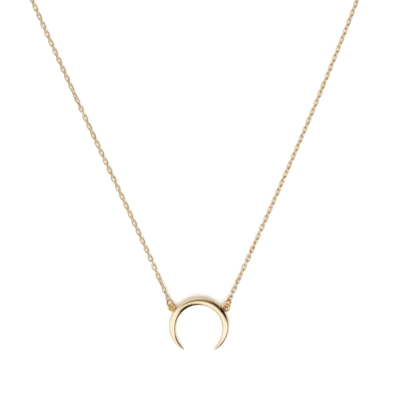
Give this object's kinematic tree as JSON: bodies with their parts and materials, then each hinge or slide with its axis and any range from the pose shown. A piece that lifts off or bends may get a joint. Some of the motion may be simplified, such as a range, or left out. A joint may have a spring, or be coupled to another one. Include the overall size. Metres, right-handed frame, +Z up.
{
  "type": "crescent pendant choker necklace",
  "caption": "Short necklace of fine cable chain with a crescent horn pendant on jump rings, lying flat as a closed loop with a plain ring clasp behind the neck.",
  "frame": {"origin": "middle of the necklace's box, on the surface it lies on", "axes": "+Z up from the surface, +Y from the pendant to the clasp, +X to the right as the picture shows it"},
  "size_m": [0.1173, 0.1606, 0.0027],
  "materials": {
    "pendant_gold": "pale gold plating on brass, mirror polished",
    "ring_gold": "pale gold plating on drawn wire, polished",
    "chain_gold": "pale gold plating on fine drawn wire, polished",
    "clasp_gold": "pale gold plating on brass, polished"
  },
  "bodies": {
    "root": {"crescent": "pendant_gold", "jump_ring_left": "ring_gold", "jump_ring_right": "ring_gold", "chain_left": "chain_gold", "chain_right": "chain_gold", "clasp": "clasp_gold"}
  },
  "joints": []
}
